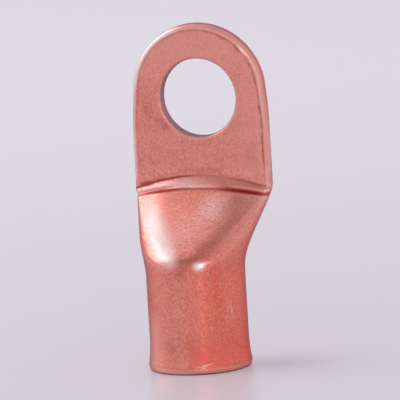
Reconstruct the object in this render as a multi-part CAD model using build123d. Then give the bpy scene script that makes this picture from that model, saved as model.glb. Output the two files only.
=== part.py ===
from build123d import *
from math import asin, copysign, cos, pi, radians, sin, sqrt, tan
import os

# Copper cable lug made from one piece of tube: an open barrel below, a palm
# with a stud hole above, and the tube pressed flat between them.
# The origin is the centre of the barrel's mouth. Z runs up the barrel, the
# pressed side of the palm faces -Y, and its contact side is flush with the
# back of the barrel. Sizes are in millimetres.

# Tube, and the lengths of its round, pressed and flat stretches
barrel_diameter = 16.4
barrel_wall = 1.3
barrel_length = 17.4
shoulder_length = 13.5
palm_length = 25.3

# Belled mouth with a rolled rim and a broken inner edge
mouth_flare = 0.36
mouth_bell_height = 5.2
mouth_rim_height = 0.9
mouth_rim_inset = 0.32
mouth_countersink = 0.4

# Palm, and its sheared end: an arc with flanks that flare to the folded
# sides, its edge broken by more in front than at the back
palm_width = 23.8
palm_thickness = 2.4
end_inset = 0.55
end_flank_angle = 6.5
end_front_break = 0.3
end_back_break = 0.1

# Stud hole, broken by more where the punch went in than where it came out
stud_hole_diameter = 13.0
stud_hole_to_end = 12.3
stud_hole_front_break = 0.25
stud_hole_back_break = 0.12

# Mark of the upper tool: an arched crease across the foot of the palm, and a
# sloping lip between it and a flatter arch below
crease_arch_radius = 32.0
lip_height = 1.65
lip_arch_radius = 47.0
lip_slope = 0.95

# Mark of the lower tool: both faces are flattened by the coining, and the
# tool's edge leads in over a short length
coining = 0.06
lead_in_start = 2.6
lead_in_length = 6.0

# Bore past the barrel: it tapers in narrow flats to a blind slit in the middle
# of the palm's thickness, a little squarer than an ellipse
bore_straight_past_barrel = 0.8
bore_end_to_crease = 2.2
bore_end_gap = 0.6
bore_taper_flats = 32
bore_end_power = 0.6

# Height above the crease at which the section stops changing
shoulder_run_out = 1.3

# How the section changes up to there: where each change starts and ends, and
# how far each end is eased, as shares of the pressed length
spread_shares = (0.02, 0.76, 0.150, 0.057)
fold_shares = (0.169, 0.747, 0.169, 0.122)
sink_shares = (0.136, 0.920, 0.081, 0.122)
coin_shares = (0.08, 0.35, 0.05, 0.05)

# Spans of the loft, points on each half of a section, and how much closer the
# sections lie at both ends; those on the run-in are still round
loft_spans = 38
section_points = 32
end_closeness = 0.85
round_run_in = 2.4

# What a cutting solid reaches past the part
margin = 2.0

barrel_radius = barrel_diameter / 2
bore_radius = barrel_radius - barrel_wall
mouth_radius = barrel_radius + mouth_flare
stud_hole_radius = stud_hole_diameter / 2
fold_radius = palm_thickness / 2
back = barrel_radius
palm_front = back - palm_thickness
crease_height = barrel_length + shoulder_length
overall_length = crease_height + palm_length
bore_straight_top = barrel_length + bore_straight_past_barrel
bore_end_height = crease_height - bore_end_to_crease
round_height = barrel_length - round_run_in
press_top = crease_height + shoulder_run_out
press_length = press_top - barrel_length
end_radius = palm_width / 2 - end_inset
stud_hole_height = overall_length - stud_hole_to_end
UPWARD = (Align.CENTER, Align.CENTER, Align.MIN)


def ramp(share, start, end, ease_in, ease_out):
    """Rise from 0 to 1, straight from start to end with each corner eased."""
    slope = 1 / (end - start)
    if share <= start - ease_in:
        return 0.0
    if share < start + ease_in:
        return slope * (share - start + ease_in) ** 2 / (4 * ease_in)
    if share <= end - ease_out:
        return slope * (share - start)
    if share < end + ease_out:
        return 1 - slope * (end + ease_out - share) ** 2 / (4 * ease_out)
    return 1.0


def pressed(height, tube_size, palm_size, shares):
    """A size of the section at a height, between its tube and palm values."""
    share = (height - barrel_length) / press_length
    return tube_size + (palm_size - tube_size) * ramp(share, *shares)


def oval_points(half, side, thick):
    """Points round a section with a flat back, round sides and a crowned front.

    They run from the middle of the front to the middle of the back, spread by
    length and by turn, half and half, so that the tight folds get as many as
    the long flats.
    """
    reach = half - side
    rise = thick - side
    crown = thick - 2 * side
    front_y = back - thick
    side_y = back - side
    front_turn = 0
    front_length = reach
    if crown > thick / 1000:
        front_radius = (reach**2 + rise**2 - side**2) / (2 * crown)
        front_turn = asin(min(1, reach / (front_radius - side)))
        front_length = front_radius * front_turn
    side_turn = pi - front_turn
    length = front_length + side * side_turn + reach
    front_end = (front_length / length + front_turn / pi) / 2
    side_end = front_end + (side * side_turn / length + side_turn / pi) / 2

    def point(share):
        if share < front_end and front_turn > 0:
            angle = front_turn * share / front_end
            return (front_radius * sin(angle), front_y + front_radius * (1 - cos(angle)))
        if share < front_end:
            return (reach * share / front_end, front_y)
        if share < side_end:
            angle = front_turn + side_turn * (share - front_end) / (side_end - front_end)
            return (reach + side * sin(angle), side_y - side * cos(angle))
        if side_end < 1:
            return (reach * (1 - share) / (1 - side_end), back)
        return (0, back)

    return [point(k / section_points) for k in range(section_points + 1)]


def tube_section(height):
    """Outline of the pressed tube at a height, as a face."""
    squeeze = pressed(height, 0, coining, coin_shares)
    half = pressed(height, barrel_radius, palm_width / 2, spread_shares)
    side = pressed(height, barrel_radius, fold_radius, fold_shares) + squeeze
    thick = pressed(height, barrel_diameter, palm_thickness, sink_shares) + 2 * squeeze
    right = oval_points(half, side, thick)
    left = [(-x, y) for x, y in reversed(right[1:-1])]
    corners = [Vector(x, y + squeeze, height) for x, y in right + left]
    shares = [k / len(corners) for k in range(len(corners) + 1)]
    return make_face(Edge.make_spline(corners, periodic=True, parameters=shares))


def pressed_tube():
    """Solid loft from the round tube up to the end of the shoulder's run-out."""
    sections = []
    for k in range(loft_spans + 1):
        share = k / loft_spans
        share -= end_closeness * sin(2 * pi * share) / (2 * pi)
        sections.append(tube_section(round_height + (press_top - round_height) * share))
    return loft(sections)


def belled_barrel():
    """Round tube below the loft, solid, with its bell and rolled rim."""
    foot_radius = mouth_radius - mouth_rim_inset
    rim_middle = (mouth_radius - mouth_rim_inset / 4, mouth_rim_height / 2)
    rim = Polyline((foot_radius, 0), rim_middle, (mouth_radius, mouth_rim_height))
    lean = 2 * (mouth_radius - barrel_radius) / (mouth_bell_height - mouth_rim_height)
    bell = Spline(
        (mouth_radius, mouth_rim_height),
        (barrel_radius, mouth_bell_height),
        tangents=[(-lean, 1), (0, 1)],
    )
    rest = Polyline(
        (barrel_radius, mouth_bell_height),
        (barrel_radius, round_height),
        (0, round_height),
        (0, 0),
        (foot_radius, 0),
    )
    return revolve(Plane.XZ * make_face([rim, bell, rest]), Axis.Z)


def bore_section(half, rise, power, y, height):
    """Many-sided section of the bore: an ellipse for a power of 1, squarer below."""
    corners = []
    for k in range(bore_taper_flats):
        across = sin(2 * pi * k / bore_taper_flats)
        depth = cos(2 * pi * k / bore_taper_flats)
        x = half * copysign(abs(across) ** power, across)
        corners.append((x, y - rise * copysign(abs(depth) ** power, depth), height))
    return make_face(Polyline(*corners, close=True))


def bore():
    """Cable bore: countersunk mouth, straight barrel and taper to a blind slit."""
    straight = Cylinder(bore_radius, bore_straight_top, align=UPWARD)
    sink = Cone(bore_radius + mouth_countersink, bore_radius, mouth_countersink, align=UPWARD)
    slit_half = palm_width / 2 - barrel_wall
    slit_y = back - palm_thickness / 2
    ends = [
        bore_section(bore_radius, bore_radius, 1, 0, bore_straight_top),
        bore_section(slit_half, bore_end_gap / 2, bore_end_power, slit_y, bore_end_height),
    ]
    return straight + sink + loft(ends, ruled=True)


def in_palm_plane(sketch, y):
    """Stand a sketch up so that its own Y runs up the lug, at a depth y."""
    return Plane((0, y, 0), x_dir=(1, 0, 0), z_dir=(0, -1, 0)) * sketch


def upper_tool():
    """What the upper tool clears: the palm's face down to its crease and lip."""
    span = palm_width / 2 + margin
    ceiling = overall_length + margin
    crown = crease_height - lip_height
    foot = crown - lip_arch_radius + sqrt(lip_arch_radius**2 - span**2)
    arch = ThreePointArc((-span, foot), (0, crown), (span, foot))
    sides = Polyline((span, foot), (span, ceiling), (-span, ceiling), (-span, foot))
    face = extrude(in_palm_plane(make_face([arch, sides]), palm_front), barrel_diameter)
    lip_reach = crease_arch_radius * lip_slope
    lip = Cone(crease_arch_radius, 0, lip_reach, rotation=(90, 0, 0), align=UPWARD)
    return face - Pos(0, palm_front, crease_height - crease_arch_radius) * lip


def lower_tool():
    """What the lower tool clears: the palm's contact face and its lead-in."""
    lead_in_foot = barrel_length + lead_in_start
    profile = Polyline(
        (back + coining, lead_in_foot),
        (back, lead_in_foot + lead_in_length),
        (back, overall_length + margin),
        (back + margin, overall_length + margin),
        (back + margin, lead_in_foot),
        close=True,
    )
    return extrude(Plane.YZ * make_face(profile), palm_width / 2 + margin, both=True)


def end_trim():
    """Prism inside the shearing die: an arc over flanks that flare downwards."""
    centre = overall_length - end_radius
    flank = radians(end_flank_angle)
    touch = (end_radius * cos(flank), centre + end_radius * sin(flank))
    foot_x = touch[0] + touch[1] * tan(flank)
    arc = ThreePointArc(touch, (0, overall_length), (-touch[0], touch[1]))
    sides = Polyline((-touch[0], touch[1]), (-foot_x, 0), (foot_x, 0), touch)
    depth = back + mouth_radius + 2 * margin
    return extrude(in_palm_plane(make_face([arc, sides]), back + margin), depth)


def stud_punch():
    """Punch of the stud hole, through the palm."""
    punch = Cylinder(stud_hole_radius, palm_thickness + 2 * margin, rotation=(90, 0, 0))
    return Pos(0, back - palm_thickness / 2, stud_hole_height) * punch


def arc_edges(solid, radius, y):
    """Edges of a solid that are arcs of one radius on the palm's face at y."""
    arcs = solid.edges().filter_by(GeomType.CIRCLE)
    on_face = arcs.filter_by_position(Axis.Y, y - coining / 2, y + coining / 2)
    return [edge for edge in on_face if abs(edge.radius - radius) < coining / 2]


blank = belled_barrel() + pressed_tube()
blank += extrude(tube_section(press_top), overall_length + margin - press_top)
lug = (blank - lower_tool() - upper_tool()) & end_trim()
lug = lug - stud_punch() - bore()
lug = chamfer(arc_edges(lug, end_radius, palm_front), end_front_break)
lug = chamfer(arc_edges(lug, end_radius, back), end_back_break)
lug = chamfer(arc_edges(lug, stud_hole_radius, palm_front), stud_hole_front_break)
lug = chamfer(arc_edges(lug, stud_hole_radius, back), stud_hole_back_break)

os.makedirs("parts", exist_ok=True)
export_step(lug, "parts/cable_lug.step")
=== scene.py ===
import math
from typing import NamedTuple

import bpy
import numpy as np
from mathutils import Matrix, Vector


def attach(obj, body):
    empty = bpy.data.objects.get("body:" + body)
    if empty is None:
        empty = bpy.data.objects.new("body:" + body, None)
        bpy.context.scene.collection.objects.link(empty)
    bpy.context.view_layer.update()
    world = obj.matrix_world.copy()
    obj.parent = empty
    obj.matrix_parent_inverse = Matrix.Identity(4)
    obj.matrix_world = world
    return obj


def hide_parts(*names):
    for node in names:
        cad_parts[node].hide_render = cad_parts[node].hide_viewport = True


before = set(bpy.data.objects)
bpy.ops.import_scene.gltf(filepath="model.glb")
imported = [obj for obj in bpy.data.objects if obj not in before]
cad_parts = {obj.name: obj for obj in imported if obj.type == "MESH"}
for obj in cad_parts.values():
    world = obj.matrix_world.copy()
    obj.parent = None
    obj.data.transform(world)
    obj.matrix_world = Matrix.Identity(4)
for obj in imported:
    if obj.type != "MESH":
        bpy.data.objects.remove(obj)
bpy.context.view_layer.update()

# Visible surface of a copper cable lug, as one mesh in the CAD model's frame:
# the origin is the centre of the barrel's mouth, Z runs up the barrel, and the
# pressed side of the palm faces -Y. Sizes are in millimetres unless a comment
# says otherwise.
MM = 0.001

# The lug's sizes, as in the CAD model
BARREL_R = 8.2
BORE_R = 6.9
BARREL_TOP = 17.4
CREASE = 30.9
LENGTH = 56.2
PALM_WIDTH = 23.8
PALM_THICK = 2.4
BACK = BARREL_R
PALM_FRONT = BACK - PALM_THICK
MOUTH_R = 8.56
BELL_HEIGHT = 5.2
RIM_HEIGHT = 0.9
RIM_INSET = 0.32
END_R = 11.35
END_FLANK = math.radians(6.5)
HOLE_R = 6.5
HOLE_Z = 43.9
CREASE_ARCH_R = 32.0
LIP_TOP = 29.25
LIP_ARCH_R = 47.0
LIP_SLOPE = 0.95
BORE_STRAIGHT = 18.2
BORE_END = 28.7
SLIT_HALF = 10.0
SLIT_RISE = 0.3
PRESS_TOP = 32.2

# Where each change of the section starts and ends over the pressed length,
# and how far both ends are eased, as shares of it
SPREAD = (0.02, 0.76, 0.150, 0.057)
FOLD = (0.169, 0.747, 0.169, 0.122)
SINK = (0.136, 0.920, 0.081, 0.122)

# How softly surfaces run into each other. The sheared edges are rolled over in
# front and crisp at the back, and change over a step inside the palm
SOFT_EDGE_FRONT = 0.75
SOFT_HOLE_FRONT = 0.55
SOFT_EDGE_BACK = 0.12
EDGE_STEP = 0.6
SOFT_RIM = 0.22
SOFT_CREASE = 0.25
SOFT_LIP = 0.35
SOFT_LIP_MIDDLE = 0.25
SOFT_LIP_FADE = 3.0
SOFT_RIDGE = 0.8
SOFT_RIDGE_FOOT = 2.0

# Heights or places across the lug between which those change
LIP_MIDDLE = (6.5, 1.5)
RIDGE_FOOT = (23.5, 20.0)

# Flat on the shoulder: how far it lies below the crown, where it sinks in and
# comes out again, and how far and where its foot leaves the surface. Its slope
# makes its true distance a share of the distance along Y
FACET_SINK = 0.55
FACET_SINK_IN = (BARREL_TOP, 25.0)
FACET_SINK_OUT = (31.5, 29.6)
FACET_AWAY = 2.8
FACET_FOOT = (20.6, 15.2)
FACET_SHARE = 0.7

# Groove that the upper tool left along the lip's lower arch, to both sides
GROOVE_DEPTH = 0.22
GROOVE_HALF = 0.38
GROOVE_FROM = 2.5
GROOVE_FULL = 6.5
GROOVE_BEHIND = 0.8

# Size of one face of the mesh, the step for its slopes and the reach for bends,
# and how many times points are moved onto the surface and faces evened out
MESH_STEP = 0.235
SLOPE_STEP = 0.01
BEND_REACH = 0.35
SURFACE_ROUNDS = 2
RELAX_ROUNDS = 3

# Noise: scale for each metre, detail, roughness. Streaks and dashes are drawn
# out along the barrel, with a scale for each axis
CLOUD = (90, 3, 0.5)
MOTTLE = (260, 4, 0.6)
BLOTS = (620, 3, 0.65)
GRAIN = (3000, 2, 0.7)
STREAKS = (1, 3, 0.6)
STREAK_SCALES = (900, 900, 60)
DASHES = (1, 2, 0.6)
DASH_SCALES = (3800, 3800, 700)

# Leaning lines on the shoulder, along which its painted shade and highlight run. The
# ridge is at a height in the middle and rises evenly to the right. The band's line
# starts on the right at the mouth's height and leans to the left for each millimetre up
RIDGE_Z = 17.2
BAND_X = 13.1
BAND_LEAN = 0.8

# How far the palm's border wanders with a noise: the noise's range, and the
# places that its two ends give
BORDER_WANDER = ("blots", 0.3, 0.7, -0.08, 0.08)


class Fade(NamedTuple):
    """Where along a value a paint begins and is full, and its cover at both."""

    value: str
    begin: float
    full: float
    least: float = 0
    most: float = 1


class Stripe(NamedTuple):
    """Where along a value a paint is full, and how far it reaches to each side."""

    value: str
    middle: float
    reach: float


class Ends(NamedTuple):
    """Two fades that are added up, for what lies at both ends of the lug's width."""

    right: Fade
    left: Fade


def patch(x, reach_x, z, reach_z):
    """The two stripes of a patch on the front of the lug."""
    return Stripe("x", x, reach_x), Stripe("z", z, reach_z)


# Regions of the lug
FRONT = Fade("y", 7.2, 6.4)
BARREL_FRONT = Fade("y", 0, -2)
SHOULDER = Fade("y", 6, 4.5)
PALM_FACE = Fade("y", 6.6, 6.2)
PALM = Fade("z", 29.5, 31.5)
BARREL = Fade("z", 24, 15)

# Paints, from the bare metal up: colour, how strongly it covers, and its limits,
# all of which hold. Copper makes the values that they name: places and distances
# in millimetres, noises and bends, and a mask where a limit is only a name
BARE_COPPER = (0.88, 0.29, 0.225)
# Glint at the ridge's foot: a real highlight from the small front lamp, with a painted
# highlight that makes it paler
PARTLY_PAINTED_GLINT = (*patch(3.2, 1.4, 18.1, 1.2), Fade("y", -5, -6))
PAINTS = {
    "light copper": ((0.90, 0.34, 0.275), 1, Fade("cloud", 0.35, 0.65)),
    "dark mottle": ((0.74, 0.24, 0.18), 1, Fade("mottle", 0.50, 0.72, 0, 0.5)),
    "palm": ((0.86, 0.315, 0.25), 0.75, FRONT, PALM),
    "palm blots": ((0.58, 0.21, 0.15), 0.3, FRONT, PALM, Fade("blots", 0.45, 0.68)),
    "warm barrel": ((0.98, 0.22, 0.145), 0.85, BARREL, Fade("x", -1.5, 4.5)),
    # Painted sheen on the shoulder's flat: lighter beside the dark ridge and in its middle
    "painted shoulder sheen": ((0.98, 0.60, 0.58), 0.75, *patch(3.2, 3.5, 26.4, 3.0), SHOULDER),
    "painted middle sheen": ((0.96, 0.50, 0.48), 0.4, *patch(-0.5, 5.0, 22.8, 4.0), SHOULDER),
    # Painted shade: a dark band along the ridge, standing for its dark reflection
    "ridge": (
        (0.62, 0.13, 0.10), 0.5, Stripe("ridge", 0, 2.1),
        Fade("z", 15.6, 17.6), Fade("z", 27, 22), Fade("x", -3.0, -0.5), Fade("y", 6, 4),
    ),
    # Partly stain, partly painted shade: the dark patch round the ridge's tip
    "ridge tip stain and shade": (
        (0.42, 0.10, 0.08), 0.58, *patch(0.2, 3.0, 18.0, 3.0),
        BARREL_FRONT, Fade("mottle", 0.3, 0.6, 0.6, 1),
    ),
    "hot streak": (
        (0.92, 0.15, 0.075), 0.55, Stripe("x", 5.6, 1.3),
        BARREL_FRONT, Fade("z", 5, 9), Fade("z", 20, 15),
    ),
    "drawn streaks": ((0.82, 0.19, 0.11), 0.35, BARREL, Fade("streaks", 0.45, 0.7)),
    "brown foot": (
        (0.58, 0.12, 0.085), 1, *patch(-0.6, 4.6, 3.6, 3.2),
        BARREL_FRONT, Fade("blots", 0.42, 0.62, 0.1, 0.75),
    ),
    "dark grain": ((0.60, 0.16, 0.125), 0.52, Fade("grain", 0.50, 0.65)),
    "light grain": ((0.97, 0.46, 0.38), 0.45, Fade("grain", 0.49, 0.35)),
    # Painted sheen: the barrel's lower left side made paler
    "painted sheen on foot": (
        (0.97, 0.44, 0.34), 0.9,
        Fade("x", -3.2, -5.8), Fade("y", 6, -1), Fade("z", 12, 6),
    ),
    "crimson foot": (
        (0.86, 0.17, 0.17), 1, *patch(3.0, 2.8, 3.3, 3.2),
        BARREL_FRONT, Fade("blots", 0.40, 0.56, 0.2, 0.7),
    ),
    "orange foot": (
        (0.94, 0.24, 0.12), 1, *patch(-1.8, 3.0, 1.9, 1.3),
        BARREL_FRONT, Fade("mottle", 0.40, 0.56, 0.2, 0.7),
    ),
    "red foot": ((0.90, 0.14, 0.09), 0.4, Fade("x", -1, 3), Fade("z", 9, 3), FRONT),
    "pale palm": ((0.93, 0.42, 0.36), 1, "palm's top and right", FRONT, PALM),
    # Painted highlight on the lip's left part
    "painted lip highlight": (
        (0.97, 0.58, 0.56), 0.75, Stripe("crease", -0.85, 0.9),
        FRONT, Fade("x", 4.5, -3.5),
    ),
    # Painted highlight: the bright band down the left of the shoulder
    "painted highlight band": (
        (0.98, 0.79, 0.77), 0.85, Stripe("band", 0, 3.4),
        SHOULDER, Fade("z", 17.0, 19.4), Fade("z", 28.8, 23.5), Fade("x", 0.6, -1.8),
    ),
    # Painted shade that tones down the highlight on the left cheek
    "painted shade on cheek": ((0.68, 0.43, 0.42), 0.6, *patch(-7.8, 2.6, 24.6, 3.4), SHOULDER),
    "worn edge": (
        (0.96, 0.58, 0.53), 1, Fade("bend", 0.12, 0.6),
        Fade("from hole", 0.7, 1.4, 0.25, 0.6),
    ),
    # Dirt and painted shade darkening the hollows
    "dirt and painted shade in hollows": (
        (0.45, 0.11, 0.07), 1, Fade("bend", -0.1, -0.5),
        Ends(Fade("x", 2, 8, 0, 0.65), Fade("x", -3, -8, 0, 0.5)),
    ),
    # Dirt and painted shadow along the crease under the palm
    "crease dirt and painted shadow": (
        (0.24, 0.055, 0.045), 1, Stripe("crease", 0.1, 0.32),
        Ends(Fade("x", 5, 10, 0, 0.2), Fade("x", 1, -4, 0.3, 0.95)),
        Fade("blots", 0.3, 0.5, 0.55, 1), PALM_FACE,
    ),
    # Painted dark reflection along the inner edge of the palm's rolled border
    "palm border": (
        (0.46, 0.11, 0.075), 1, Stripe("border", -1.0, 0.30),
        Fade("x", -9, 9, 0.25, 0.85), Fade("blots", 0.38, 0.56, 0.45, 1),
        PALM_FACE, FRONT, PALM,
    ),
    # Dirt and painted shade along the groove, mostly on the right
    "groove dirt and painted shade": (
        (0.54, 0.08, 0.045), 0.75, Stripe("valley", -0.05, 0.5),
        Ends(Fade("x", 2.5, 7.5), Fade("x", -3.5, -8, 0, 0.35)),
        Fade("crease", 0.2, -0.2), FRONT,
    ),
    # Painted light that lifts the groove's shade in the middle
    "painted light over groove": (
        (0.98, 0.66, 0.60), 0.9, Stripe("valley", -0.1, 0.65),
        Stripe("x", -0.8, 6.0), FRONT,
    ),
    # Painted reflection and shade: the hole's wall made greyer and darker
    "painted reflection in hole": (
        (0.40, 0.25, 0.28), 0.85,
        Fade("from hole", 0.12, 0.04), Fade("z", 30, 31),
    ),
    # Painted highlight on the palm's rolled left edge
    "painted corner highlight": (
        (0.98, 0.86, 0.83), 0.85,
        "palm's left edge", Fade("from hole", 1.5, 2.5),
    ),
    # Painted highlight along the mouth's rolled rim
    "painted rim highlight": ((0.97, 0.45, 0.36), 0.5, Stripe("z", 0.7, 0.45), Fade("y", 8, 6)),
    "rim line": (
        (0.50, 0.11, 0.08), 1, Stripe("z", 1.2, 0.16),
        Fade("blots", 0.4, 0.6, 0.1, 0.5), FRONT,
    ),
    # Painted shadow at the mouth's foot, where it meets the floor
    "painted rim shadow": ((0.12, 0.035, 0.03), 0.85, Fade("z", 0.34, 0.14)),
    "dashes": (
        (0.97, 0.62, 0.50), 0.7, *patch(7.1, 0.7, 10.0, 3.5),
        BARREL_FRONT, Fade("dashes", 0.52, 0.62),
    ),
    "light scratches": ((0.97, 0.72, 0.64), 0.5, "light scratches", BARREL_FRONT),
    "dark scratches": ((0.35, 0.08, 0.06), 0.6, "dark scratches", BARREL_FRONT),
    # Painted highlight along the palm's top right edge
    "painted edge glint": ((1.0, 0.93, 0.84), 1, "painted edge glint", PALM_FACE),
    # Painted highlight over the small lamp's glint
    "partly painted glint": ((0.98, 0.92, 0.84), 0.9, *PARTLY_PAINTED_GLINT),
    "stains": ((0.38, 0.09, 0.065), 1, "stains", FRONT),
}

# Where the palm is paler, and where its rolled edge gets a painted highlight: at its left
# corner, and more weakly in a strip down its left side
PALE_TOP = Fade("z", 43, 54, 0, 0.45)
PALE_RIGHT = Fade("x", 5, 10, 0, 0.4)
LEFT_CORNER = (Fade("bend", 0.1, 0.4), Fade("x", -2, -5), Fade("z", 44.5, 47))
LEFT_STRIP = (Stripe("rim", -0.3, 0.5), FRONT, PALM, Fade("x", -3, -6))
LEFT_STRIP_COVER = 0.55

# Scratches on the front: start and end (x, z), width
LIGHT_SCRATCHES = (
    ((1.6, 1.1), (5.2, 2.0), 0.22),
    ((2.4, 0.7), (3.9, 1.5), 0.2),
)
DARK_SCRATCHES = (
    ((2.2, 1.5), (5.6, 2.5), 0.16),
    ((-3.2, 1.3), (2.0, 0.75), 0.14),
)
# Painted highlight: a glint along the palm's top right edge, in the same form as the scratches
PAINTED_EDGE_GLINT = ((7.2, 52.9), (9.2, 50.6), 0.32)

# Stains: middle across and up the lug, reach across and up, cover. Each fades
# out up to one squared distance in reaches, and a noise makes that wander
STAIN_WANDER = ("mottle", 0.3, 0.7, 0.7, -0.7)
STAIN_END = 1.2
STAINS = (
    (-7.0, 39.4, 1.6, 1.6, 0.42),
    (-8.8, 42.0, 1.0, 2.6, 0.20),
    (-9.6, 29.6, 1.6, 0.5, 0.75),
    (-6.5, 30.3, 1.8, 0.3, 0.45),
    (0.0, 31.8, 4.0, 0.6, 0.22),
    (9.0, 34.0, 1.5, 3.0, 0.15),
)

# The shader's tint at grazing angles, which darkens the outline
EDGE_TINT = (0.55, 0.45, 0.52, 1)

# Roughness: what the two noises give, what the palm adds and what the partly painted
# glint takes away
MOTTLE_ROUGHNESS = ("mottle", 0.3, 0.75, 0.25, 0.34)
GRAIN_ROUGHNESS = ("grain", 0.3, 0.7, -0.03, 0.06)
PALM_ROUGHNESS = 0.06
SPOT_GLOSS = 0.08

# Fine relief: its depth and strength, and the share of each noise in it
RELIEF = 0.05
RELIEF_STRENGTH = 0.3
GRAIN_RELIEF = 0.6
STREAK_RELIEF = 0.25
BLOT_RELIEF = 0.5

# Floor: its radius in metres, its colours near the lug and far from it, darker
# near the lug as painted shade, the distances between which they change, its
# roughness, and how strongly it shines by itself
FLOOR_R = 0.6
FLOOR_NEAR = (0.505, 0.48, 0.52)
FLOOR_FAR = (0.585, 0.56, 0.595)
FLOOR_CHANGE = (20, 330)
FLOOR_ROUGHNESS = 0.35
FLOOR_GLOW = 0.4

# Oval shade on the floor beside the lug: its colour and cover, its middle and
# size along X and Y, and where it ends, as a share of its size
SHADE_COLOUR = (0.30, 0.24, 0.29)
SHADE_COVER = 0.35
SHADE_END = 1.2
SHADE_X = (13, 11)
SHADE_Y = (3, 9)

# Camera of the photograph: direction and roll in degrees, distance and height
# of its aim in metres, focal length and offset of its frame in pixels
PHOTO_SIDE = 400
CAMERA_TURN = (19.45, 9.45, -3.41)
CAMERA_DISTANCE = 1.512
CAMERA_AIM = 0.028
CAMERA_FOCAL = 9180.5
CAMERA_OFFSET = (-8.77, -0.79)
SENSOR = 36

# Studio: colour of its walls and ceiling, how far up the change between them
# starts and ends, and the colour of the ceiling's dark parts. Each of those has
# an azimuth and elevation and the angles at which it is full and gone, in degrees
WALL_COLOUR = (0.74, 0.72, 0.77, 1)
CEILING_COLOUR = (0.60, 0.58, 0.62, 1)
CEILING_RISE = (0.1, 1.0)
DARK_COLOUR = (0.40, 0.39, 0.40, 1)
DARK_PATCHES = (
    (-10, 82, 7, 17),
    (-9, 60, 9, 22),
)

# Lamps: azimuth and elevation in degrees, size in metres, power in watts. All
# stand at one distance from a point in the middle of the lug, in metres
LAMP_DISTANCE = 0.6
LAMP_AIM = 0.03
LAMPS = {
    "key_left": (-90, 36, (0.46, 0.44), 0.82),
    "overhead": (-88, 72, (0.32, 0.26), 0.08),
    "front_small": (28, 17, (0.04, 0.04), 0.14),
}


def smooth_step(value, low, high):
    """Rise smoothly from 0 at one value to 1 at another."""
    t = np.clip((value - low) / (high - low), 0, 1)
    return t * t * (3 - 2 * t)


def smooth_max(a, b, k):
    """The larger of two distances, rounded over where they are closer than k."""
    h = np.maximum(k - np.abs(a - b), 0)
    return np.maximum(a, b) + h * h / (4 * k)


def smooth_min(a, b, k):
    """The smaller of two distances, rounded over in the same way."""
    return -smooth_max(-a, -b, k)


def ramp(share, start, end, ease_in, ease_out):
    """Rise from 0 to 1, straight from start to end with each corner eased."""
    slope = 1 / (end - start)
    low = slope * (share - start + ease_in) ** 2 / (4 * ease_in)
    high = 1 - slope * (end + ease_out - share) ** 2 / (4 * ease_out)
    value = slope * (share - start)
    value = np.where(share < start + ease_in, low, value)
    value = np.where(share > end - ease_out, high, value)
    value = np.where(share <= start - ease_in, 0.0, value)
    return np.where(share >= end + ease_out, 1.0, value)


def pressed(z, tube_size, palm_size, shares):
    """A size of the section at a height, between its tube and palm values."""
    share = (z - BARREL_TOP) / (PRESS_TOP - BARREL_TOP)
    return tube_size + (palm_size - tube_size) * ramp(share, *shares)


def bell(z):
    """How far the belled mouth stands out beyond the barrel."""
    flare = MOUTH_R - BARREL_R
    above = flare * (np.clip(BELL_HEIGHT - z, 0, None) / (BELL_HEIGHT - RIM_HEIGHT)) ** 2
    below = flare - RIM_INSET * (np.clip(RIM_HEIGHT - z, 0, None) / RIM_HEIGHT) ** 2
    return np.where(z < RIM_HEIGHT, below, above)


def oval(x, y, half, side, thick, back_y):
    """Distance to a section with a flat back, round sides and a crowned front."""
    ax = np.abs(x)
    reach = np.maximum(half - side, 1e-6)
    crown = np.maximum(thick - 2 * side, 1e-6)
    front_r = side + crown / 2 + reach**2 / (2 * crown)
    centre = back_y - thick + front_r
    turn = np.arcsin(np.clip(reach / (front_r - side), 0, 1))
    front = np.hypot(ax, y - centre) - front_r
    behind = y - back_y
    beside = np.hypot(ax - reach, y - back_y + side) - side
    inner = np.where(y > back_y - side, behind, np.maximum(front, behind))
    value = np.where(ax < reach, inner, beside)
    return np.where(np.arctan2(ax, centre - y) < turn, np.maximum(front, behind), value)


def tube(x, y, z):
    """Distance to the tube's outside."""
    flare = bell(z)
    half = pressed(z, BARREL_R, PALM_WIDTH / 2, SPREAD) + flare
    side = pressed(z, BARREL_R, PALM_THICK / 2, FOLD) + flare
    thick = pressed(z, 2 * BARREL_R, PALM_THICK, SINK) + 2 * flare
    return oval(x, y, half, side, thick, BACK + flare)


def bore(x, y, z):
    """Distance to the bore: straight, then narrowing to a blind slit."""
    share = np.clip((z - BORE_STRAIGHT) / (BORE_END - BORE_STRAIGHT), 0, 1)
    half = BORE_R + (SLIT_HALF - BORE_R) * share
    rise = BORE_R + (SLIT_RISE - BORE_R) * share
    middle = (BACK - PALM_THICK / 2) * share
    sides = np.hypot(np.maximum(np.abs(x) - half + rise, 0), y - middle) - rise
    return smooth_max(sides, z - BORE_END, SOFT_RIM)


def facet(y, z):
    """Distance to the flat that the upper tool leaves on the shoulder."""
    thick = pressed(z, 2 * BARREL_R, PALM_THICK, SINK)
    sunk = FACET_SINK * smooth_step(z, *FACET_SINK_IN) * smooth_step(z, *FACET_SINK_OUT)
    away = FACET_AWAY * smooth_step(z, *FACET_FOOT)
    return (BACK - thick + sunk - y) * FACET_SHARE - away


def arch_distance(x, z, crown, radius):
    """Distance above an arch across the palm's foot."""
    return np.hypot(x, z - crown + radius) - radius


def press_mark(x, y, z):
    """Distance to what the upper tool leaves: palm face, crease and sloping lip."""
    face = PALM_FRONT - y
    lip_r = CREASE_ARCH_R - (PALM_FRONT - y) / LIP_SLOPE
    lip = np.hypot(x, z - CREASE + CREASE_ARCH_R) - lip_r
    lip = lip / math.hypot(1, 1 / LIP_SLOPE)
    below = arch_distance(x, z, LIP_TOP, LIP_ARCH_R)
    return smooth_min(smooth_min(face, lip, SOFT_CREASE), below, SOFT_CREASE)


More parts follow.
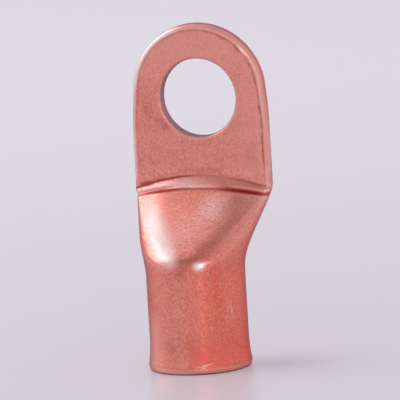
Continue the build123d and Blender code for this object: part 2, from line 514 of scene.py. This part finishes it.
def groove(x, y, z):
    """Depth of the groove along the lip's lower arch, on the pressed side."""
    across = arch_distance(x, z, LIP_TOP, LIP_ARCH_R) / GROOVE_HALF
    depth = GROOVE_DEPTH * np.exp(-(across**2))
    depth = depth * smooth_step(np.abs(x), GROOVE_FROM, GROOVE_FULL)
    return depth * smooth_step(y, BACK - GROOVE_BEHIND, PALM_FRONT)


def end_outline(x, z):
    """Distance to the sheared end's outline, in the palm's plane."""
    centre = LENGTH - END_R
    arc = np.hypot(x, z - centre) - END_R
    flank = np.abs(x) * math.cos(END_FLANK) + (z - centre) * math.sin(END_FLANK) - END_R
    above = (z - centre) * math.cos(END_FLANK) > np.abs(x) * math.sin(END_FLANK)
    return np.where(above, arc, flank)


def lug_distance(x, y, z):
    """Distance to the lug's surface, negative inside the copper."""
    ridge_soft = SOFT_RIDGE + SOFT_RIDGE_FOOT * smooth_step(z, *RIDGE_FOOT)
    body = smooth_max(tube(x, y, z), facet(y, z), ridge_soft)
    lip_soft = SOFT_LIP + SOFT_LIP_MIDDLE * smooth_step(np.abs(x), *LIP_MIDDLE)
    lip_soft = lip_soft * np.clip((PRESS_TOP - z) / SOFT_LIP_FADE, 0.1, 1)
    body = smooth_max(body, press_mark(x, y, z), lip_soft)
    body = body + groove(x, y, z)
    behind = smooth_step(y, PALM_FRONT + EDGE_STEP, BACK - EDGE_STEP)
    edge = SOFT_EDGE_FRONT + (SOFT_EDGE_BACK - SOFT_EDGE_FRONT) * behind
    body = smooth_max(body, end_outline(x, z), edge)
    hole = HOLE_R - np.hypot(x, z - HOLE_Z)
    edge = SOFT_HOLE_FRONT + (SOFT_EDGE_BACK - SOFT_HOLE_FRONT) * behind
    body = smooth_max(body, hole, edge)
    body = smooth_max(body, -bore(x, y, z), SOFT_RIM)
    return smooth_max(body, -z, SOFT_RIM)


def slope(points):
    """Gradient of the lug's distance at each point."""
    gradient = []
    for axis in range(3):
        step = np.zeros(3)
        step[axis] = SLOPE_STEP
        ahead = lug_distance(*(points + step).T)
        behind = lug_distance(*(points - step).T)
        gradient.append((ahead - behind) / (2 * SLOPE_STEP))
    return np.stack(gradient, axis=1)


def onto_surface(points, rounds):
    """Move points along the gradient until they lie on the surface."""
    for _ in range(rounds):
        gradient = slope(points)
        steepness = np.maximum((gradient**2).sum(1), 0.25)
        move = lug_distance(*points.T) / steepness
        points = points - np.clip(move, -MESH_STEP, MESH_STEP)[:, None] * gradient
    return points


def net_points(value, inside, shape):
    """One point in each cell that the surface crosses, and each cell's number."""
    total = np.zeros((*shape, 3))
    count = np.zeros(shape)

    def at(array, corner):
        a, b, c = corner
        return array[a : a + shape[0], b : b + shape[1], c : c + shape[2]]

    for first in [np.array(corner) for corner in np.ndindex(2, 2, 2)]:
        for axis in range(3):
            if first[axis]:
                continue
            second = first.copy()
            second[axis] = 1
            crossed = at(inside, first) != at(inside, second)
            start, end = at(value, first)[crossed], at(value, second)[crossed]
            offset = np.tile(first.astype(float), (len(start), 1))
            offset[:, axis] = start / (start - end)
            total[crossed] += offset
            count[crossed] += 1
    cells = np.argwhere(count > 0)
    number = np.full(shape, -1)
    number[tuple(cells.T)] = np.arange(len(cells))
    return cells + total[tuple(cells.T)] / count[tuple(cells.T)][:, None], number


def net_faces(inside, number):
    """A four-sided face round each grid edge that the surface crosses."""
    faces = []
    for axis in range(3):
        b, c = [k for k in range(3) if k != axis]
        left = [slice(None)] * 3
        left[axis] = slice(0, -1)
        right = [slice(None)] * 3
        right[axis] = slice(1, None)
        edges = np.argwhere(inside[tuple(left)] != inside[tuple(right)])
        outward = inside[tuple(edges.T)]
        ring = []
        for step_b, step_c in ((0, 0), (-1, 0), (-1, -1), (0, -1)):
            cell = edges.copy()
            cell[:, b] += step_b
            cell[:, c] += step_c
            ring.append(number[tuple(cell.T)])
        ring = np.stack(ring, axis=1)
        if axis != 1:
            outward = ~outward
        ring[outward] = ring[outward][:, ::-1]
        faces.append(ring)
    return np.concatenate(faces)


def surface_net(low, high, step):
    """Points and four-sided faces of the lug's surface on an even grid."""
    axes = [np.arange(a - 2 * step, b + 2 * step, step) for a, b in zip(low, high)]
    value = lug_distance(*np.meshgrid(*axes, indexing="ij", sparse=True))
    inside = value < 0
    places, number = net_points(value, inside, np.array(value.shape) - 1)
    origin = np.array([axis[0] for axis in axes])
    return origin + step * places, net_faces(inside, number)


def relaxed(points, faces, rounds):
    """Even out the faces by moving points towards their neighbours' middle."""
    pairs = np.concatenate([faces[:, [k, (k + 1) % 4]] for k in range(4)])
    degree = np.bincount(pairs.ravel(), minlength=len(points))
    for _ in range(rounds):
        middle = np.zeros_like(points)
        for k in range(3):
            middle[:, k] = np.bincount(pairs[:, 0], points[pairs[:, 1], k], len(points))
            middle[:, k] += np.bincount(pairs[:, 1], points[pairs[:, 0], k], len(points))
        middle /= degree[:, None]
        points = onto_surface((points + middle) / 2, 1)
    return onto_surface(points, SURFACE_ROUNDS)


def bend(points):
    """How the surface bends nearby: above 0 on edges, below 0 in creases."""
    near = -6 * lug_distance(*points.T)
    for axis in range(3):
        for sign in (-1, 1):
            offset = np.zeros(3)
            offset[axis] = sign * BEND_REACH
            near += lug_distance(*(points + offset).T)
    return near / BEND_REACH


def lug_mesh():
    """The lug's mesh, with exact normals and the fields that its dirt, wear and painted light
    and shade follow.
    """
    low = (-PALM_WIDTH / 2, -MOUTH_R, 0)
    high = (PALM_WIDTH / 2, MOUTH_R, LENGTH)
    points, faces = surface_net(low, high, MESH_STEP)
    points = relaxed(onto_surface(points, SURFACE_ROUNDS), faces, RELAX_ROUNDS)
    points[:, 2] = np.maximum(points[:, 2], 0)
    normals = slope(points)
    normals /= np.linalg.norm(normals, axis=1)[:, None]
    mesh = bpy.data.meshes.new("lug_body")
    mesh.from_pydata((points * MM).tolist(), [], faces.tolist())
    mesh.polygons.foreach_set("use_smooth", [True] * len(faces))
    x, _, z = points.T
    fields = {
        "bend": bend(points),
        "crease": arch_distance(x, z, CREASE, CREASE_ARCH_R),
        "valley": arch_distance(x, z, LIP_TOP, LIP_ARCH_R),
        "rim": np.maximum(end_outline(x, z), np.abs(x) - PALM_WIDTH / 2),
    }
    for name, values in fields.items():
        field = mesh.attributes.new(name, "FLOAT", "POINT")
        field.data.foreach_set("value", values.astype(np.float32))
    mesh.update()
    mesh.normals_split_custom_set_from_vertices(normals.tolist())
    return mesh


class Nodes:
    """Short forms for the nodes of one material."""

    def __init__(self, name):
        self.material = bpy.data.materials.new(name)
        self.material.use_nodes = True
        self.tree = self.material.node_tree
        self.shader = self.tree.nodes["Principled BSDF"]
        self.place = self.tree.nodes.new("ShaderNodeTexCoord").outputs["Object"]
        self.x, self.y, self.z = self.millimetres()

    def link(self, value, socket):
        """Join a socket to another node's output, or set its value."""
        if isinstance(value, bpy.types.NodeSocket):
            self.tree.links.new(value, socket)
        else:
            socket.default_value = value

    def add(self, kind, settings=(), **inputs):
        """A new node with its settings and inputs."""
        node = self.tree.nodes.new(kind)
        for key, value in dict(settings).items():
            setattr(node, key, value)
        for key, value in inputs.items():
            self.link(value, node.inputs[key.replace("_", " ")])
        return node

    def math(self, operation, a, b=0.0, c=0.0):
        node = self.tree.nodes.new("ShaderNodeMath")
        node.operation = operation
        for socket, value in zip(node.inputs, (a, b, c)):
            self.link(value, socket)
        return node.outputs[0]

    def product(self, first, *others):
        for other in others:
            first = first if other == 1 else self.math("MULTIPLY", first, other)
        return first

    def noise(self, scale, detail, roughness, place=None):
        settings = {"Scale": scale, "Detail": detail, "Roughness": roughness}
        node = self.add("ShaderNodeTexNoise", Vector=place or self.place, **settings)
        return node.outputs["Fac"]

    def stretched(self, scale):
        """The object's place with each axis scaled, for streaks along one."""
        node = self.add("ShaderNodeMapping", Vector=self.place)
        node.inputs["Scale"].default_value = scale
        return node.outputs[0]

    def millimetres(self):
        place = self.stretched((1 / MM, 1 / MM, 1 / MM))
        return self.add("ShaderNodeSeparateXYZ", Vector=place).outputs

    def between(self, value, low, high, start=0.0, end=1.0):
        """Remap a value smoothly from one range to another."""
        node = self.add("ShaderNodeMapRange", {"interpolation_type": "SMOOTHSTEP"}, Value=value)
        node.inputs["From Min"].default_value = low
        node.inputs["From Max"].default_value = high
        node.inputs["To Min"].default_value = start
        node.inputs["To Max"].default_value = end
        return node.outputs[0]

    def near(self, value, middle, reach):
        """1 where the value is at the middle, falling to 0 at the reach."""
        away = self.math("ABSOLUTE", self.math("SUBTRACT", value, middle))
        return self.between(away, reach, 0)

    def distance(self, a, b):
        """Distance from the middle to a place, given by its two coordinates."""
        return self.math("SQRT", self.math("ADD", self.product(a, a), self.product(b, b)))

    def scaled(self, value, middle, reach):
        """How far a value lies from the middle, as a share of the reach."""
        return self.product(self.math("SUBTRACT", value, middle), 1 / reach)

    def field(self, name):
        """One of the mesh's own fields."""
        return self.add("ShaderNodeAttribute", {"attribute_name": name}).outputs["Fac"]

    def mix(self, share, a, b):
        node = self.tree.nodes.new("ShaderNodeMix")
        node.data_type = "RGBA"
        for index, value in ((0, share), (6, a), (7, b)):
            if isinstance(value, tuple):
                value = (*value, 1)
            self.link(value, node.inputs[index])
        return node.outputs[2]


class Copper(Nodes):
    """Satin copper: mottled, stained and worn where the lug is, with painted highlights,
    reflections and shade.
    """

    def __init__(self):
        super().__init__("copper")
        from_hole = self.distance(self.math("SUBTRACT", self.z, HOLE_Z), self.x)
        ridge_foot = self.math("SUBTRACT", self.z, RIDGE_Z)
        band_foot = self.math("SUBTRACT", self.x, BAND_X)
        self.values = {
            "x": self.x,
            "y": self.y,
            "z": self.z,
            "cloud": self.noise(*CLOUD),
            "mottle": self.noise(*MOTTLE),
            "blots": self.noise(*BLOTS),
            "grain": self.noise(*GRAIN),
            "streaks": self.noise(*STREAKS, self.stretched(STREAK_SCALES)),
            "dashes": self.noise(*DASHES, self.stretched(DASH_SCALES)),
            "from hole": self.math("SUBTRACT", from_hole, HOLE_R),
            "ridge": self.math("SUBTRACT", ridge_foot, self.x),
            "band": self.math("MULTIPLY_ADD", self.z, BAND_LEAN, band_foot),
        }
        for name in ("bend", "crease", "valley", "rim"):
            self.values[name] = self.field(name)
        wander = self.remapped(*BORDER_WANDER)
        self.values["border"] = self.math("ADD", self.values["rim"], wander)
        self.masks = {
            "light scratches": self.scratches(LIGHT_SCRATCHES),
            "dark scratches": self.scratches(DARK_SCRATCHES),
            "painted edge glint": self.scratch_and_glint_line(*PAINTED_EDGE_GLINT),
            "stains": self.stains(),
        }
        pale = (self.mask(PALE_TOP), self.mask(PALE_RIGHT))
        self.masks["palm's top and right"] = self.math("MAXIMUM", *pale)
        # Painted highlight on the palm's rolled left edge: its corner and a strip below
        strip = self.product(self.covered(*LEFT_STRIP), LEFT_STRIP_COVER)
        edge = self.math("MAXIMUM", self.covered(*LEFT_CORNER), strip)
        self.masks["palm's left edge"] = edge
        self.paint()
        self.roughen()
        self.add_relief()

    def remapped(self, name, *ends):
        """One of the material's values, remapped from one range to another."""
        return self.between(self.values[name], *ends)

    def mask(self, limit):
        """The cover that one limit of a paint leaves, made once for each limit."""
        if limit not in self.masks:
            self.masks[limit] = self.new_mask(limit)
        return self.masks[limit]

    def new_mask(self, limit):
        if isinstance(limit, Ends):
            return self.math("ADD", self.mask(limit.left), self.mask(limit.right))
        if isinstance(limit, Stripe):
            return self.near(self.values[limit.value], limit.middle, limit.reach)
        return self.remapped(*limit)

    def covered(self, *limits):
        """The cover that several limits leave together."""
        return self.product(*[self.mask(limit) for limit in limits])

    def scratch_and_glint_line(self, start, end, width):
        """A straight mark between two places (x, z) on the front, for the scratches and the
        painted edge glint.
        """
        length = math.hypot(end[0] - start[0], end[1] - start[1])
        along_x, along_z = (end[0] - start[0]) / length, (end[1] - start[1]) / length
        from_x = self.math("SUBTRACT", self.x, start[0])
        from_z = self.math("SUBTRACT", self.z, start[1])
        across = self.math("MULTIPLY_ADD", from_x, -along_z, self.product(from_z, along_x))
        along = self.math("MULTIPLY_ADD", from_x, along_x, self.product(from_z, along_z))
        middle = length / 2
        return self.product(self.near(across, 0, width), self.near(along, middle, middle))

    def scratches(self, places):
        first, second = [self.scratch_and_glint_line(*place) for place in places]
        return self.math("MAXIMUM", first, second)

    def stains(self):
        """Dark smudges on the palm: beside the hole and at the crease."""
        wander = self.remapped(*STAIN_WANDER)
        total = 0.0
        for middle_x, middle_z, reach_x, reach_z, cover in STAINS:
            across = self.scaled(self.x, middle_x, reach_x)
            along = self.scaled(self.z, middle_z, reach_z)
            away = self.math("ADD", self.product(across, across), self.product(along, along))
            away = self.math("ADD", away, wander)
            total = self.math("MAXIMUM", total, self.between(away, STAIN_END, 0, 0, cover))
        return total

    def paint(self):
        """Lay each paint over what is there."""
        colour = BARE_COPPER
        for paint, cover, *limits in PAINTS.values():
            colour = self.mix(self.product(self.covered(*limits), cover), colour, paint)
        self.link(colour, self.shader.inputs["Base Color"])
        self.shader.inputs["Metallic"].default_value = 1.0
        self.shader.inputs["Specular Tint"].default_value = EDGE_TINT

    def roughen(self):
        """Satin gloss, duller on the palm and brighter at the partly painted glint."""
        rough = self.remapped(*MOTTLE_ROUGHNESS)
        rough = self.math("ADD", rough, self.remapped(*GRAIN_ROUGHNESS))
        palm = self.covered(FRONT, PALM)
        rough = self.math("MULTIPLY_ADD", palm, PALM_ROUGHNESS, rough)
        bright = self.covered(*PARTLY_PAINTED_GLINT)
        rough = self.math("MULTIPLY_ADD", bright, -SPOT_GLOSS, rough)
        self.link(rough, self.shader.inputs["Roughness"])

    def add_relief(self):
        """Fine bumps from the grain, the streaks and the blots."""
        height = self.product(self.values["grain"], GRAIN_RELIEF)
        height = self.math("MULTIPLY_ADD", self.values["streaks"], STREAK_RELIEF, height)
        height = self.math("MULTIPLY_ADD", self.values["blots"], BLOT_RELIEF, height)
        settings = {"Height": height, "Strength": RELIEF_STRENGTH, "Distance": RELIEF * MM}
        bump = self.add("ShaderNodeBump", **settings)
        self.link(bump.outputs["Normal"], self.shader.inputs["Normal"])


def floor_material():
    """Pale paper, painted a little darker round the lug as shade, that shines a little itself.
    """
    n = Nodes("pale_floor")
    away = n.distance(n.x, n.y)
    colour = n.mix(n.between(away, *FLOOR_CHANGE), FLOOR_NEAR, FLOOR_FAR)
    shade = n.distance(n.scaled(n.x, *SHADE_X), n.scaled(n.y, *SHADE_Y))
    colour = n.mix(n.between(shade, SHADE_END, 0, 0, SHADE_COVER), colour, SHADE_COLOUR)
    n.link(colour, n.shader.inputs["Base Color"])
    n.shader.inputs["Roughness"].default_value = FLOOR_ROUGHNESS
    path = n.tree.nodes.new("ShaderNodeLightPath").outputs
    seen = n.math("MAXIMUM", path["Is Camera Ray"], path["Is Glossy Ray"])
    seen = n.math("MAXIMUM", seen, path["Is Transmission Ray"])
    n.link(colour, n.shader.inputs["Emission Color"])
    n.link(n.product(seen, FLOOR_GLOW), n.shader.inputs["Emission Strength"])
    return n.material


def add_to_scene(name, data):
    holder = bpy.data.objects.new(name, data)
    bpy.context.scene.collection.objects.link(holder)
    return holder


def add_floor():
    bpy.ops.mesh.primitive_circle_add(vertices=96, radius=FLOOR_R, fill_type="NGON")
    floor = bpy.context.object
    floor.name = "floor"
    floor.data.materials.append(floor_material())


def direction(azimuth, elevation):
    """Unit vector at an angle in degrees, measured from the lug's front."""
    a, e = math.radians(azimuth), math.radians(elevation)
    return Vector((math.sin(a) * math.cos(e), -math.cos(a) * math.cos(e), math.sin(e)))


def add_camera():
    """Camera of the photograph: its direction, roll and framing."""
    azimuth, elevation, roll = CAMERA_TURN
    back = direction(azimuth, elevation)
    right = direction(azimuth + 90, 0)
    up = back.cross(right)
    roll = math.radians(roll)
    rolled_right = right * math.cos(roll) + up * math.sin(roll)
    rolled_up = up * math.cos(roll) - right * math.sin(roll)
    camera = bpy.data.cameras.new("camera")
    camera.sensor_width = SENSOR
    camera.lens = CAMERA_FOCAL * SENSOR / PHOTO_SIDE
    camera.shift_x = -CAMERA_OFFSET[0] / PHOTO_SIDE
    camera.shift_y = CAMERA_OFFSET[1] / PHOTO_SIDE
    camera.clip_end = 10
    holder = add_to_scene("camera", camera)
    place = Vector((0, 0, CAMERA_AIM)) + back * CAMERA_DISTANCE
    turn = Matrix((rolled_right, rolled_up, back)).transposed()
    holder.matrix_world = Matrix.Translation(place) @ turn.to_4x4()
    bpy.context.scene.camera = holder


def add_world():
    """Studio round the lug: pale, greyer overhead, with a dark strip above it."""
    world = bpy.data.worlds.new("studio")
    bpy.context.scene.world = world
    world.use_nodes = True
    nodes, links = world.node_tree.nodes, world.node_tree.links
    place = nodes.new("ShaderNodeTexCoord").outputs["Generated"]

    def share(value, low, high):
        node = nodes.new("ShaderNodeMapRange")
        node.interpolation_type = "SMOOTHSTEP"
        node.inputs["From Min"].default_value = low
        node.inputs["From Max"].default_value = high
        links.new(value, node.inputs["Value"])
        return node.outputs[0]

    def mixed(factor, start, colour):
        node = nodes.new("ShaderNodeMix")
        node.data_type = "RGBA"
        links.new(factor, node.inputs[0])
        if isinstance(start, tuple):
            node.inputs[6].default_value = start
        else:
            links.new(start, node.inputs[6])
        node.inputs[7].default_value = colour
        return node.outputs[2]

    axes = nodes.new("ShaderNodeSeparateXYZ")
    links.new(place, axes.inputs["Vector"])
    height = share(axes.outputs["Z"], *CEILING_RISE)
    colour = mixed(height, WALL_COLOUR, CEILING_COLOUR)
    for azimuth, elevation, inner, outer in DARK_PATCHES:
        toward = nodes.new("ShaderNodeVectorMath")
        toward.operation = "DOT_PRODUCT"
        links.new(place, toward.inputs[0])
        toward.inputs[1].default_value = direction(azimuth, elevation)
        reach = [math.cos(math.radians(angle)) for angle in (outer, inner)]
        colour = mixed(share(toward.outputs["Value"], *reach), colour, DARK_COLOUR)
    links.new(colour, nodes["Background"].inputs["Color"])
    nodes["Background"].inputs["Strength"].default_value = 1.0


def add_lights():
    aim = Vector((0, 0, LAMP_AIM))
    for name, (azimuth, elevation, size, power) in LAMPS.items():
        light = bpy.data.lights.new(name, "AREA")
        light.shape = "RECTANGLE"
        light.size, light.size_y = size
        light.energy = power
        lamp = add_to_scene(name, light)
        lamp.location = aim + direction(azimuth, elevation) * LAMP_DISTANCE
        lamp.rotation_euler = (aim - lamp.location).to_track_quat("-Z", "Y").to_euler()


lug = add_to_scene("lug_body", lug_mesh())
lug.data.materials.append(Copper().material)
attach(lug, "root")
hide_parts("cable_lug")
add_floor()
add_world()
add_lights()
add_camera()
bpy.context.scene.view_settings.view_transform = "Standard"
